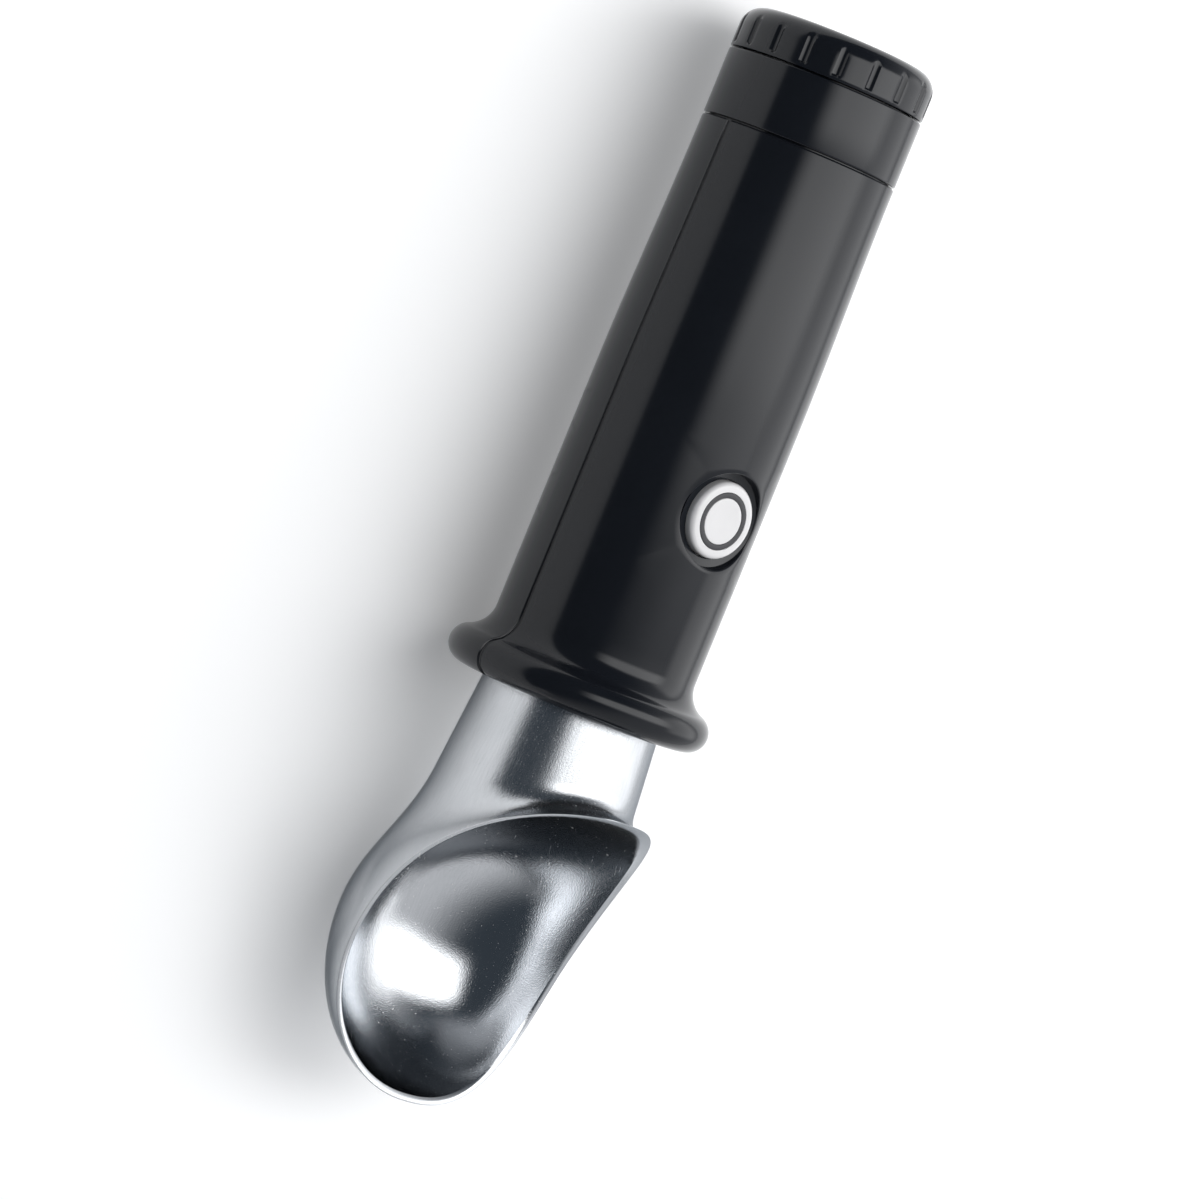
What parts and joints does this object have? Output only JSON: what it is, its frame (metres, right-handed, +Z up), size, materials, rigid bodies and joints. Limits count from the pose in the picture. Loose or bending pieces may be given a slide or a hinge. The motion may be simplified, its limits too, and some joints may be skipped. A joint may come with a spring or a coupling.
{
  "type": "heated ice cream scoop",
  "caption": "Battery-heated ice cream scoop: cast aluminium bowl and neck on a round black two-shell grip with a push button, a front flange and a screw-on end cap.",
  "frame": {"origin": "on the surface that the scoop lies on, under the middle of its length", "axes": "+X along the grip's axis towards the bowl's tip, +Z up through the button and the bowl's open side, +Y to the left of the bowl seen from behind"},
  "size_m": [0.2086, 0.051, 0.0511],
  "materials": {
    "cast_aluminium": "polished cast aluminium with fine scratches and pits",
    "grip_black": "black moulded plastic, satin gloss",
    "inner_black": "black moulded plastic, plain",
    "button_white": "white moulded plastic, gloss",
    "inlay_grey": "dark grey moulded ring",
    "collar_tan": "heat-resistant moulding compound",
    "silicone_red": "silicone O-ring",
    "steel": "plain steel",
    "nickel": "nickel-plated contact metal",
    "board_green": "circuit board with solder mask",
    "cell_blue": "plain printed wrap on a cell",
    "wire_red": "silicone wire insulation",
    "wire_black": "silicone wire insulation",
    "ceramic_white": "ceramic heater body"
  },
  "bodies": {
    "scoop": {"scoop_head": "cast_aluminium", "heater_cartridge": "ceramic_white", "heater_retainer": "steel", "thermal_cutout": "nickel", "thermal_collar": "collar_tan", "tenon_clip": "steel", "neck_seal": "silicone_red", "handle_upper_shell": "grip_black", "handle_lower_shell": "grip_black", "shell_screw_1": "steel", "shell_screw_2": "steel", "shell_screw_3": "steel", "shell_screw_4": "steel", "button_spring": "steel", "tact_switch": "inner_black", "control_board": "board_green", "board_screw_1": "steel", "board_screw_2": "steel", "power_transistor": "inner_black", "battery_bulkhead": "inner_black", "front_contact": "nickel", "cell_carrier": "inner_black", "cell_1": "cell_blue", "cell_2": "cell_blue", "cell_3": "cell_blue", "carrier_front_terminal": "nickel", "carrier_rear_terminal": "nickel", "cell_link_front": "nickel", "cell_link_rear": "nickel", "negative_strip": "nickel", "heater_lead_live": "wire_red", "heater_lead_return": "wire_black", "battery_lead_positive": "wire_red", "battery_lead_negative": "wire_black", "rear_ring": "grip_black"},
    "button": {"button_cap": "button_white", "button_inlay": "inlay_grey", "switch_plunger": "inner_black"},
    "cap_carriage": {"end_cap_seal": "silicone_red"},
    "end_cap": {"end_cap": "grip_black", "cap_spring": "steel"}
  },
  "joints": [
    {"name": "button_press", "type": "slide", "parent": "scoop", "child": "button", "axis": [0, 0, -1], "range_m": [0, 0.001], "stiffness_N_per_m": 1500, "deforming": ["button_spring"]},
    {"name": "cap_travel", "type": "slide", "parent": "scoop", "child": "cap_carriage", "axis": [-1, 0, 0], "range_m": [0, 0.0045]},
    {"name": "cap_turn", "type": "hinge", "parent": "cap_carriage", "child": "end_cap", "pos_m": [-0.0958, 0, 0.0256], "axis": [-1, 0, 0], "range_deg": [0, 540]}
  ],
  "couplings": [
    {"joint": "cap_travel", "follows": "cap_turn", "m_per_rad": 0.00047746}
  ]
}
